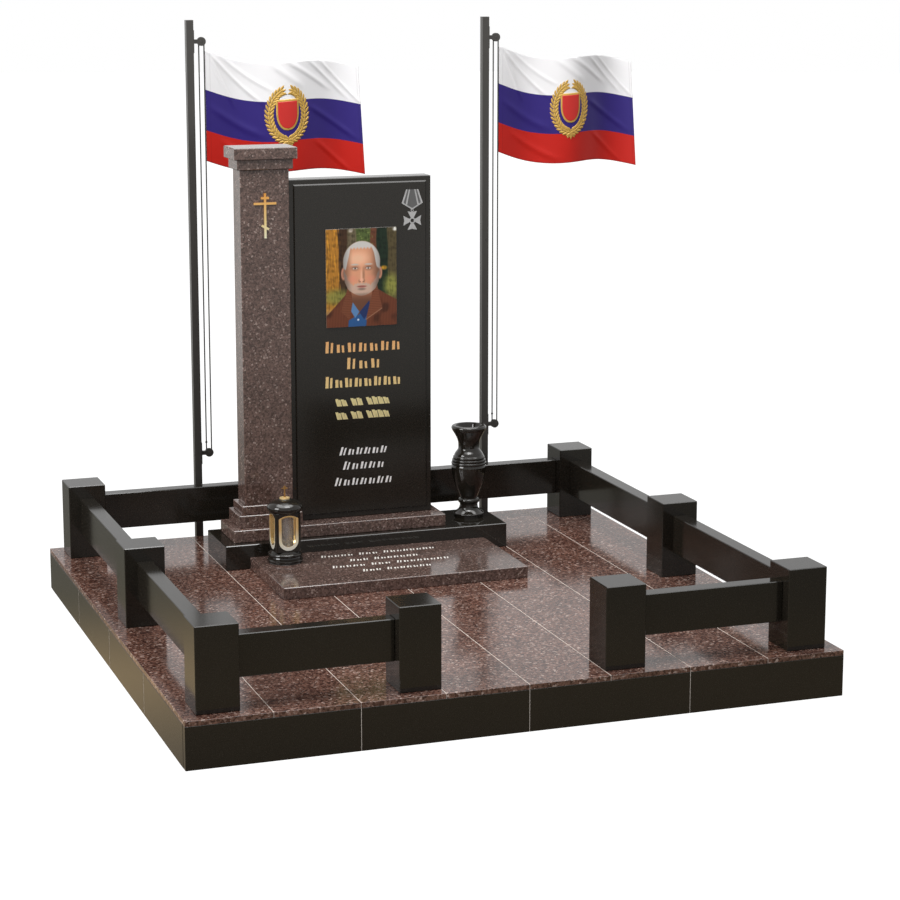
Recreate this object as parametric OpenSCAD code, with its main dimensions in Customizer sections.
// War memorial grave monument: a faced and tiled platform inside a low fence of
// posts and rails, carrying a pillar, a stele, a slab, a lantern and a vase, with
// two flagpoles behind it. Millimetres, +X to the right, +Y to the back, +Z up.
// Origin: the centre of the platform's underside.

/* [Platform] */
// Width of the platform, left to right
platform_w = 2400; // [2000:10:3000]
// Depth of the platform, front to back
platform_d = 2400; // [2000:10:3000]
// Height of the facing stones
facing_h = 150; // [100:5:250]
// Thickness of the facing stones
facing_t = 30; // [20:5:60]
// Facing stones along the front, and along each side
facing_count = 4; // [2:1:4]
// Facing stones along the back, which is plainer
back_count = 2; // [1:1:2]
// Open joint between two facing stones
facing_joint = 1.5; // [0.5:0.5:4]
// Thickness of the floor tiles
tile_t = 18; // [12:1:40]
// Strips of tile across the platform
tile_count = 8; // [4:1:8]
// Open joint between two strips of tile
tile_joint = 2; // [1:0.5:5]

/* [Fence] */
// Width of a square post
post_w = 150; // [100:5:200]
// Height of a post above the tiles
post_h = 300; // [250:5:600]
// Distance from the platform's edge to a post
post_inset = 50; // [10:5:100]
// Clear width of the gateway between the two gate posts
gate_w = 600; // [400:10:900]
// Thickness of a rail
rail_t = 58; // [40:1:90]
// Height of a rail
rail_h = 148; // [80:2:160]
// Space between the tiles and the underside of a rail
rail_clear = 100; // [40:5:120]

/* [Plinth and steps] */
// Height of the black plinth
plinth_h = 100; // [60:5:200]
// Distance from the platform's back edge to the plinth
plinth_back_gap = 300; // [240:10:400]
// Bare strip of the plinth in front of the long step, and behind it
plinth_edge = 40; // [10:5:80]
// Bare strip of the plinth to the left of the long step
plinth_left = 45; // [10:5:80]
// Bare part of the plinth to the right of the long step, where the vase stands
plinth_right = 255; // [240:5:400]
// Height of the long step
base_h = 50; // [30:2:100]
// Bare strip of the long step to the left of the pillar, and to the right of the stele
base_end = 34; // [5:1:60]
// Bare strip of the long step in front of the pillar
base_front = 38; // [10:1:60]
// Bare strip of the long step behind the pillar
base_back = 8; // [4:1:60]

/* [Pillar] */
// Width of the shaft
shaft_w = 200; // [160:5:260]
// Depth of the shaft
shaft_d = 110; // [90:5:120]
// Height of the shaft
shaft_h = 1355; // [900:5:1800]
// Height of the lower step under the shaft
lower_step_h = 50; // [30:1:80]
// How far the lower step stands out all round
lower_step_out = 32; // [20:1:36]
// Height of the upper step under the shaft
upper_step_h = 36; // [20:1:60]
// How far the upper step stands out all round
upper_step_out = 17; // [8:1:19]
// Height of the collar under the cap
collar_h = 41; // [20:1:60]
// How far the collar stands out all round
collar_out = 14; // [5:1:20]
// Height of the cap
cap_h = 46; // [30:1:80]
// How far the cap stands out all round
cap_out = 29; // [21:1:50]
// Height of the metal cross on the shaft
cross_h = 179; // [120:1:300]
// Width of the cross's main bar
cross_w = 92; // [60:1:140]
// Width of the metal strip that the cross is cut from
cross_bar = 9; // [6:1:16]
// Thickness of the cross
cross_t = 5; // [2:0.5:10]
// Distance from the top of the shaft to the cross
cross_drop = 94; // [40:2:200]

/* [Stele] */
// Width of the stele
stele_w = 600; // [500:5:720]
// Thickness of the stele behind its raised field
stele_t = 80; // [50:2:90]
// Height of the stele
stele_h = 1395; // [900:5:1700]
// Width of the border round the raised field
border_w = 20; // [10:1:40]
// Height of the raised field, which is also its bevel
field_t = 5; // [2:0.5:12]
// Width of the portrait plaque
portrait_w = 300; // [200:5:360]
// Height of the portrait plaque
portrait_h = 400; // [240:5:480]
// Thickness of the portrait plaque
portrait_t = 6; // [4:1:15]
// Distance from the top of the stele to the plaque
portrait_drop = 203; // [60:1:400]
// Clearance between the stele and the pillar's steps
step_clear = 0.5; // [0.2:0.1:2]

/* [Slab] */
// Width of the slab in front of the plinth
slab_w = 1000; // [800:10:1150]
// Depth of the slab
slab_d = 500; // [400:10:700]
// Thickness of the slab
slab_h = 48; // [30:1:80]

/* [Vase] */
// Height of the vase
vase_h = 390; // [340:5:480]
// Radius of the rim and of the belly
vase_r = 75; // [60:1:95]
// Radius of the waist above and below the belly
vase_waist_r = 42; // [40:0.5:48]
// Radius of the hole bored for the flowers
vase_bore_r = 30; // [20:1:32]
// Thickness of stone left under the bore
vase_floor = 100; // [80:5:140]
// Distance from the plinth's right end to the vase's middle
vase_inset = 105; // [100:5:140]
// How far behind the plinth's middle line the vase stands
vase_back = 24; // [0:2:40]

/* [Lantern] */
// Side of the lantern's square body
lantern_w = 106; // [90:2:130]
// Height of the two foot rings
lantern_foot_h = 50; // [40:1:60]
// Height of the body above the foot rings
lantern_body_h = 154; // [120:2:180]
// How far the foot and the cap stand out from a side of the body
lantern_out = 18; // [17:1:30]
// Thickness of the body's walls
lantern_wall = 12; // [8:1:16]
// Stone left at each side of a window
window_side = 13; // [12:0.5:20]
// Stone left above and below a window
window_end = 6; // [4:1:20]
// Width of the metal frame round a window
frame_w = 6; // [3:1:9]
// Thickness of the metal liner
liner_t = 2.5; // [1.5:0.5:4]
// Clearance round the metal liner
liner_clear = 0.3; // [0.1:0.1:1]
// Height of the small cross on the cap
finial_h = 44; // [30:1:60]
// Distance from the slab's left edge to the lantern's middle
lantern_x_inset = 116; // [95:2:200]
// Distance from the slab's back edge to the lantern's middle
lantern_y_inset = 107; // [95:2:200]

/* [Flagpoles] */
// Height of a flagpole above the ground
pole_h = 2328; // [2100:4:2800]
// Side of the square tube
pole_w = 30; // [24:1:50]
// Wall of the square tube
pole_wall = 2; // [1.5:0.5:4]
// Distance from the platform's middle to the left pole
pole_left = 561; // [400:1:700]
// Distance from the platform's middle to the right pole
pole_right = 725; // [650:1:1000]
// Distance from the top of a pole to its upper pulley
pulley_drop = 87; // [60:1:150]
// Height of the left pole's lower pulley
pulley_low_left = 524; // [500:2:800]
// Height of the right pole's lower pulley
pulley_low_right = 562; // [500:2:800]
// Distance from the face of a pole to the middle of a pulley
pulley_out = 35; // [28:1:50]
// Radius of a pulley's cheeks
pulley_r = 18; // [15:1:24]
// Diameter of the halyard
rope_d = 5.5; // [3:0.5:7]
// Distance between the two runs of the halyard
rope_gap = 22; // [16:1:26]

/* [Flags] */
// Height of a flag at the pole
flag_h = 452; // [300:5:600]
// How far the left flag reaches from the halyard
flag_left_l = 682; // [450:2:900]
// How far the right flag reaches from the halyard
flag_right_l = 640; // [450:2:900]
// Depth of the left flag's waves, to each side
flag_left_wave = 30; // [0:2:60]
// Depth of the right flag's waves, to each side
flag_right_wave = 44; // [0:2:60]
// Thickness of the cloth's stand-in solid
flag_t = 4; // [2:1:10]
// Distance from the top of a pole to a flag
flag_drop = 124; // [110:2:200]

/* [Finish] */
// Chamfer on the edges of the larger stones
arris = 2.5; // [0.5:0.5:4]
// Chamfer on the edges of the tiles and the facings
thin_arris = 0.8; // [0.2:0.1:1]
// Facets of a round
$fn = 64; // [32:4:128]

/* [Hidden] */
black = [0.13, 0.12, 0.11];
red = [0.42, 0.33, 0.31];
gold = [0.80, 0.62, 0.27];
steel = [0.24, 0.24, 0.23];
little = 0.01;

// Heights of the surfaces that pieces stand on
deck_z = facing_h + tile_t;
plinth_z = deck_z + plinth_h;
base_z = plinth_z + base_h;
lower_z = base_z + lower_step_h;
upper_z = lower_z + upper_step_h;
shaft_z = upper_z + shaft_h;
collar_z = shaft_z + collar_h;
slab_z = deck_z + slab_h;

// Places of the posts, and of the rails between them
post_x = platform_w / 2 - post_inset - post_w / 2;
post_y = platform_d / 2 - post_inset - post_w / 2;
gate_x = gate_w / 2 + post_w / 2;
POSTS = [
    ["post_back_left", [-post_x, post_y]],
    ["post_middle_left", [-post_x, 0]],
    ["post_front_left", [-post_x, -post_y]],
    ["post_gate_left", [-gate_x, -post_y]],
    ["post_gate_right", [gate_x, -post_y]],
    ["post_front_right", [post_x, -post_y]],
    ["post_middle_right", [post_x, 0]],
    ["post_back_right", [post_x, post_y]],
];
RAILS = [
    ["rail_back", POSTS[0][1], POSTS[7][1]],
    ["rail_left_back", POSTS[1][1], POSTS[0][1]],
    ["rail_left_front", POSTS[2][1], POSTS[1][1]],
    ["rail_front_left", POSTS[2][1], POSTS[3][1]],
    ["rail_front_right", POSTS[4][1], POSTS[5][1]],
    ["rail_right_front", POSTS[5][1], POSTS[6][1]],
    ["rail_right_back", POSTS[6][1], POSTS[7][1]],
];

// Plinth, long step, pillar and stele
base_w = 2 * base_end + lower_step_out + shaft_w + stele_w;
base_d = base_front + 2 * lower_step_out + shaft_d + base_back;
plinth_w = plinth_left + base_w + plinth_right;
plinth_d = base_d + 2 * plinth_edge;
plinth_y = platform_d / 2 - plinth_back_gap - plinth_d / 2;
pillar_y = plinth_y + (base_front - base_back) / 2;
base_x = -plinth_w / 2 + plinth_left + base_w / 2;
pillar_x = base_x - base_w / 2 + base_end + lower_step_out + shaft_w / 2;
stele_x = pillar_x + shaft_w / 2 + stele_w / 2;
field_y = pillar_y - stele_t / 2 - field_t;
stele_top = base_z + stele_h;

// Slab, vase and lantern
slab_y = plinth_y - plinth_d / 2 - slab_d / 2;
vase_x = plinth_w / 2 - vase_inset;
vase_y = plinth_y + vase_back;
vase_mouth_r = vase_r - 20;
vase_mouth_h = 50;
lantern_x = -slab_w / 2 + lantern_x_inset;
lantern_y = slab_y + slab_d / 2 - lantern_y_inset;
lantern_r = lantern_w / 2 + lantern_out;
window_w = lantern_w - 2 * window_side;
window_h = lantern_body_h - 2 * window_end;
window_z = lantern_foot_h + window_end;
window_rise = 12;
chamber_w = lantern_w - 2 * lantern_wall;
cap_seat_z = lantern_foot_h + lantern_body_h;
cap_dome_h = 53;
finial_disc_r = 20;
finial_disc_h = 5;

// Flagpoles
pole_y = platform_d / 2 + pole_w / 2;
pulley_high = pole_h - pulley_drop;
slot_w = rope_d + 2;
cheek_t = 3;
plate_t = 3;
plate_h = 92;
flag_z = pole_h - flag_drop;
flag_steps = 32;
flag_waves = 1.5;
// Fall of a flag at its free end, and the two swells on the way there
flag_fall = 75;
flag_swell = [15, 19];

// Corners of a rectangle w wide that stands on the X axis, with its corners cut off
function cut_rect(w, h, c) = [
    [-w / 2 + c, 0], [w / 2 - c, 0], [w / 2, c], [w / 2, h - c],
    [w / 2 - c, h], [-w / 2 + c, h], [-w / 2, h - c], [-w / 2, c]
];

// A block on the XY plane, centred on Z, with a chamfer on every edge
module block(size, c = arris) {
    intersection() {
        translate([0, -size.y / 2, 0])
            linear_extrude(size.z)
                polygon(cut_rect(size.x, size.y, c));
        translate([0, size.y / 2, 0])
            rotate([90, 0, 0])
                linear_extrude(size.y)
                    polygon(cut_rect(size.x, size.z, c));
        translate([-size.x / 2, 0, 0])
            rotate([90, 0, 90])
                linear_extrude(size.x)
                    polygon(cut_rect(size.y, size.z, c));
    }
}

// A block centred on the pillar, standing out from the shaft all round
module pillar_block(z, h, out) {
    translate([pillar_x, pillar_y, z])
        block([shaft_w + 2 * out, shaft_d + 2 * out, h]);
}

// The concrete bed that the tiles lie on and the facing stones close off
module foundation_slab() {
    inner_w = platform_w - 2 * facing_t;
    inner_d = platform_d - 2 * facing_t;
    color("gray")
        translate([-inner_w / 2, -inner_d / 2, 0])
            cube([inner_w, inner_d, facing_h]);
}

// Stone i of a row of n that is length long, lying along X and centred on the origin
module facing(i, n, length) {
    pitch = length / n;
    color(black)
        translate([(i - 0.5) * pitch - length / 2, 0, 0])
            block([pitch - facing_joint, facing_t, facing_h], thin_arris);
}

module facing_front(i) {
    translate([0, -platform_d / 2 + facing_t / 2, 0])
        facing(i, facing_count, platform_w);
}

module facing_back(i) {
    translate([0, platform_d / 2 - facing_t / 2, 0])
        facing(i, back_count, platform_w);
}

// Side rows run between the front row and the back row
module facing_side(i, side) {
    translate([side * (platform_w - facing_t) / 2, 0, 0])
        rotate([0, 0, 90])
            facing(i, facing_count, platform_d - 2 * facing_t);
}

module tile_strip(i) {
    pitch = platform_w / tile_count;
    color(red)
        translate([(i - 0.5) * pitch - platform_w / 2, 0, facing_h])
            block([pitch - tile_joint, platform_d, tile_t], thin_arris);
}

module post(at) {
    color(black)
        translate([at.x, at.y, deck_z])
            block([post_w, post_w, post_h]);
}

// A rail between the facing sides of two posts
module rail(from, to) {
    span = norm(to - from) - post_w;
    middle = (from + to) / 2;
    color(black)
        translate([middle.x, middle.y, deck_z + rail_clear])
            rotate([0, 0, from.y == to.y ? 0 : 90])
                block([span, rail_t, rail_h]);
}

module plinth() {
    color(black)
        translate([0, plinth_y, deck_z])
            block([plinth_w, plinth_d, plinth_h]);
}

module base_step() {
    color(red)
        translate([base_x, plinth_y, plinth_z])
            block([base_w, base_d, base_h]);
}

module pillar_lower_step() {
    color(red)
        pillar_block(base_z, lower_step_h, lower_step_out);
}

module pillar_upper_step() {
    color(red)
        pillar_block(lower_z, upper_step_h, upper_step_out);
}

module pillar_shaft() {
    color(red)
        pillar_block(upper_z, shaft_h, 0);
}

module pillar_collar() {
    color(red)
        pillar_block(shaft_z, collar_h, collar_out);
}

module pillar_cap() {
    color(red)
        pillar_block(collar_z, cap_h, cap_out);
}

// A cross with a short top bar, a long main bar and a slanting foot bar, standing on
// the X axis in the XZ plane, with its back on y = 0
module three_bar_cross(h, w, bar, t) {
    short = 0.36 * w;
    rotate([90, 0, 0])
        linear_extrude(t) {
            translate([-bar / 2, 0])
                square([bar, h]);
            translate([-w / 2, 0.77 * h - bar / 2])
                square([w, bar]);
            translate([-short / 2, 0.893 * h - bar / 2])
                square([short, bar]);
            translate([0, 0.24 * h])
                rotate(-28)
                    square([short, bar], center = true);
        }
}

module pillar_cross() {
    color(gold)
        translate([pillar_x, pillar_y - shaft_d / 2, shaft_z - cross_drop - cross_h])
            three_bar_cross(cross_h, cross_w, cross_bar, cross_t);
}

// The raised field of the stele: a plate whose four edges are bevelled to its back
module raised_field(w, h, t) {
    intersection() {
        linear_extrude(h)
            polygon([[-w / 2, 0], [w / 2, 0], [w / 2 - t, -t], [-w / 2 + t, -t]]);
        translate([-w / 2, 0, 0])
            rotate([90, 0, 90])
                linear_extrude(w)
                    polygon([[0, 0], [-t, t], [-t, h - t], [0, h]]);
    }
}

// What the stele is cut away for: one of the pillar's steps and the clearance round it
module step_room(z, h, out) {
    w = shaft_w + 2 * (out + step_clear);
    d = shaft_d + 2 * (out + step_clear);
    translate([pillar_x - w / 2, pillar_y - d / 2, z - little])
        cube([w, d, h + step_clear + little]);
}

module stele() {
    color(black)
        difference() {
            union() {
                translate([stele_x, pillar_y, base_z])
                    block([stele_w, stele_t, stele_h]);
                translate([stele_x, pillar_y - stele_t / 2, base_z + border_w])
                    raised_field(stele_w - 2 * border_w, stele_h - 2 * border_w, field_t);
            }
            step_room(base_z, lower_step_h, lower_step_out);
            step_room(lower_z, upper_step_h, upper_step_out);
        }
}

module portrait_plaque() {
    color([0.62, 0.50, 0.38])
        translate([stele_x, field_y - portrait_t / 2, stele_top - portrait_drop - portrait_h])
            block([portrait_w, portrait_t, portrait_h], 1);
}

module slab() {
    color(red)
        translate([0, slab_y, deck_z])
            block([slab_w, slab_d, slab_h]);
}

// Runs of [radius, height] points for turned outlines: steep at its end, steep at its
// start, steep in the middle, and a rounded ridge that stands out by w and is 2 * h high
function quarter(from, to, n) = [
    for (k = [0:n])
        let (a = 90 * k / n)
            [from.x + (to.x - from.x) * sin(a), from.y + (to.y - from.y) * k / n]
];
function quarter_in(from, to, n) = [
    for (k = [0:n])
        let (a = 90 * k / n)
            [from.x + (to.x - from.x) * (1 - cos(a)), from.y + (to.y - from.y) * k / n]
];
function swell(from, to, n) = [
    for (k = [0:n])
        let (a = 180 * k / n)
            [from.x + (to.x - from.x) * (1 - cos(a)) / 2, from.y + (to.y - from.y) * k / n]
];
function ridge(at, w, h, n, start = -90) = [
    for (k = [0:n])
        let (a = start + (90 - start) * k / n)
            [at.x + w * cos(a), at.y + h * sin(a)]
];
function bead(at, r, n, start = -90) = ridge(at, r, r, n, start);

// Outline of the vase from the foot to the rim, with three turned ridges on its shoulder
vase_foot_r = vase_r - 12;
vase_neck_z = vase_h - 84;
vase_outline = concat(
    [[0, 0], [vase_foot_r - 3, 0]],
    bead([vase_foot_r - 3, 15], 4, 6),
    quarter([vase_foot_r - 3, 19], [vase_waist_r - 3, 42], 8),
    [[vase_waist_r - 5, 50]],
    bead([vase_waist_r - 7, 70], 11, 10, -70),
    quarter([vase_waist_r - 6, 88], [vase_r - 2, 218], 14),
    ridge([vase_r - 5, 230], 3, 6, 6),
    ridge([vase_r - 8, 242], 3, 6, 6),
    ridge([vase_r - 12, 254], 3, 6, 6),
    swell([vase_r - 14, 262], [vase_waist_r + 2, vase_neck_z - 10], 10),
    quarter_in([vase_waist_r + 2, vase_neck_z + 2], [vase_r - 5, vase_h - 19], 12),
    bead([vase_r - 11, vase_h - 9], 9, 10, -45),
    [[0, vase_h]]
);

module vase() {
    color(black)
        translate([vase_x, vase_y, plinth_z])
            difference() {
                rotate_extrude()
                    polygon(vase_outline);
                translate([0, 0, vase_floor])
                    cylinder(r = vase_bore_r, h = vase_h);
                translate([0, 0, vase_h - vase_mouth_h])
                    cylinder(r1 = vase_bore_r, r2 = vase_mouth_r, h = vase_mouth_h + little);
            }
}

// A square w wide with rounded corners
module round_square(w, r) {
    square([w - 2 * r, w], center = true);
    square([w, w - 2 * r], center = true);
    for (x = [-1, 1], y = [-1, 1])
        translate([x * (w / 2 - r), y * (w / 2 - r)])
            circle(r);
}

// A window w wide and h high, on the X axis: a round foot and a low arched head
module window_shape(w, h, rise) {
    arch_r = (w * w / 4 + rise * rise) / (2 * rise);
    translate([0, w / 2])
        circle(w / 2);
    intersection() {
        translate([-w / 2, w / 2])
            square([w, h - w / 2]);
        translate([0, h - arch_r])
            circle(arch_r, $fn = 96);
    }
}

// A window's opening, cut or filled from a distance reach on each side of the middle
module window_bar(w, h, z, reach) {
    for (turn = [0, 90])
        rotate([0, 0, turn])
            translate([0, reach, z])
                rotate([90, 0, 0])
                    linear_extrude(2 * reach)
                        window_shape(w, h, window_rise);
}

lantern_foot_outline = concat(
    [[0, 0], [lantern_r - 3, 0]],
    bead([lantern_r - 6, 10], 6, 8),
    [[lantern_r - 6, 22]],
    bead([lantern_r - 8, 34], 7, 10),
    [[lantern_r - 14, lantern_foot_h], [0, lantern_foot_h]]
);

module lantern_body() {
    color(black)
        translate([lantern_x, lantern_y, slab_z])
            difference() {
                union() {
                    rotate_extrude()
                        polygon(lantern_foot_outline);
                    translate([0, 0, lantern_foot_h - little])
                        linear_extrude(lantern_body_h + little)
                            round_square(lantern_w, 14);
                }
                translate([0, 0, lantern_foot_h])
                    linear_extrude(lantern_body_h + 1)
                        round_square(chamber_w, 4);
                window_bar(window_w, window_h, window_z, lantern_w);
            }
}

// A metal sleeve inside the stone, with a frame that lines each window out to its face
module lantern_liner() {
    sleeve_w = chamber_w - 2 * liner_clear;
    inner_w = sleeve_w - 2 * liner_t;
    outer_window = window_w - 2 * liner_clear;
    inner_window = window_w - 2 * frame_w;
    reach = lantern_w / 2 - 1;
    color(gold)
        translate([lantern_x, lantern_y, slab_z])
            difference() {
                union() {
                    translate([0, 0, lantern_foot_h])
                        linear_extrude(lantern_body_h)
                            round_square(sleeve_w, 4 - liner_clear);
                    window_bar(outer_window, window_h - 2 * liner_clear, window_z + liner_clear, reach);
                }
                translate([0, 0, lantern_foot_h - 1])
                    linear_extrude(lantern_body_h + 2)
                        round_square(inner_w, 1.5);
                window_bar(inner_window, window_h - 2 * frame_w, window_z + frame_w, lantern_w);
            }
}

lantern_cap_outline = concat(
    [[0, 0]],
    [[lantern_r - 8, 0]],
    bead([lantern_r - 12, 20], 12, 14, -60),
    quarter_in([lantern_r - 12, 32], [finial_disc_r + 8, 50], 8),
    [[finial_disc_r + 4, cap_dome_h], [0, cap_dome_h]]
);

module lantern_cap() {
    color(black)
        translate([lantern_x, lantern_y, slab_z + cap_seat_z])
            rotate_extrude()
                polygon(lantern_cap_outline);
}

module lantern_finial() {
    stem_r = 5;
    cross_foot = finial_disc_h + 4;
    color(gold)
        translate([lantern_x, lantern_y, slab_z + cap_seat_z + cap_dome_h]) {
            cylinder(r = finial_disc_r, h = finial_disc_h);
            cylinder(r = stem_r, h = cross_foot);
            translate([0, 2, cross_foot - 1])
                three_bar_cross(finial_h, 0.55 * finial_h, 4, 4);
        }
}

// A pulley fixed to the side of a pole: cheeks, a sheave and an arm to its plate, with
// the middle of the sheave on the origin and the pole at -X
module pulley_block() {
    width = slot_w + 2 * cheek_t;
    arm_h = 17;
    sheave_r = rope_gap / 2 - rope_d / 2 - 0.3;
    slot_l = 2 * pulley_r;
    reach = pulley_out - plate_t;
    translate([-pulley_out, -pole_w / 2 + 3, -plate_h / 2])
        cube([plate_t, pole_w - 6, plate_h]);
    difference() {
        union() {
            rotate([90, 0, 0])
                cylinder(r = pulley_r, h = width, center = true);
            translate([-reach, -width / 2, -arm_h / 2])
                cube([reach, width, arm_h]);
        }
        translate([-rope_gap / 2 - rope_d / 2 - 0.5, -slot_w / 2, -pulley_r - 1])
            cube([slot_l + 1, slot_w, 2 * pulley_r + 2]);
    }
    rotate([90, 0, 0])
        cylinder(r = sheave_r, h = width - little, center = true);
    rotate([90, 0, 0])
        cylinder(r = 4, h = width + 4, center = true);
}

module flagpole(x, low) {
    inner_w = pole_w - 2 * pole_wall;
    color(steel)
        translate([x, pole_y, 0]) {
            difference() {
                translate([-pole_w / 2, -pole_w / 2, 0])
                    cube([pole_w, pole_w, pole_h]);
                translate([-inner_w / 2, -inner_w / 2, -1])
                    cube([inner_w, inner_w, pole_h - pole_wall + 1]);
            }
            for (z = [low, pulley_high])
                translate([pole_w / 2 + pulley_out, 0, z])
                    pulley_block();
        }
}

// The halyard is one loop round both pulleys, with a knot in the run next to the pole
module halyard(x, low) {
    knot_z = low + 45;
    color([0.16, 0.16, 0.16])
        translate([x + pole_w / 2 + pulley_out, pole_y, 0]) {
            for (side = [-1, 1])
                translate([side * rope_gap / 2, 0, low])
                    cylinder(d = rope_d, h = pulley_high - low);
            translate([0, 0, pulley_high])
                rotate([90, 0, 0])
                    rotate_extrude(angle = 180)
                        translate([rope_gap / 2, 0])
                            circle(d = rope_d);
            translate([0, 0, low])
                rotate([-90, 0, 0])
                    rotate_extrude(angle = 180)
                        translate([rope_gap / 2, 0])
                            circle(d = rope_d);
            translate([-rope_gap / 2, 0, knot_z])
                sphere(d = 1.8 * rope_d);
        }
}

// A flag's shape at the share s of its length: how far its edge has dropped, and how
// far it swings to the back
function flag_dip(s) = flag_fall * s + flag_swell[0] * sin(180 * s) + flag_swell[1] * sin(360 * s);
function flag_swing(s, wave) = wave * sqrt(s) * sin(360 * flag_waves * s);

// Four corners of the cloth's section at the share s
function flag_ring(s, l, wave) = [
    for (corner = [[-1, 0], [1, 0], [1, -1], [-1, -1]])
        [s * l, flag_swing(s, wave) + corner[0] * flag_t / 2, -flag_dip(s) + corner[1] * flag_h]
];

module flag(x, l, wave) {
    hoist_x = x + pole_w / 2 + pulley_out + rope_gap / 2 + rope_d / 2 + 0.3;
    rings = [for (k = [0:flag_steps]) each flag_ring(k / flag_steps, l, wave)];
    last = 4 * flag_steps;
    sides = [
        for (k = [0:flag_steps - 1], c = [0:3])
            let (a = 4 * k + c, b = 4 * k + (c + 1) % 4)
                [a, a + 4, b + 4, b]
    ];
    ends = [[0, 1, 2, 3], [last + 3, last + 2, last + 1, last]];
    color([0.85, 0.85, 0.88])
        translate([hoist_x, pole_y, flag_z])
            polyhedron(rings, concat(sides, ends));
}

foundation_slab();
for (i = [1:facing_count]) {
    facing_front(i);
    facing_side(i, -1);
    facing_side(i, 1);
}
for (i = [1:back_count])
    facing_back(i);
for (i = [1:tile_count])
    tile_strip(i);
for (one = POSTS)
    post(one[1]);
for (one = RAILS)
    rail(one[1], one[2]);
plinth();
base_step();
pillar_lower_step();
pillar_upper_step();
pillar_shaft();
pillar_collar();
pillar_cap();
pillar_cross();
stele();
portrait_plaque();
slab();
vase();
lantern_body();
lantern_liner();
lantern_cap();
lantern_finial();
flagpole(-pole_left, pulley_low_left);  // flagpole_left
flagpole(pole_right, pulley_low_right);  // flagpole_right
halyard(-pole_left, pulley_low_left);  // halyard_left
halyard(pole_right, pulley_low_right);  // halyard_right
flag(-pole_left, flag_left_l, flag_left_wave);  // flag_left
flag(pole_right, flag_right_l, flag_right_wave);  // flag_right
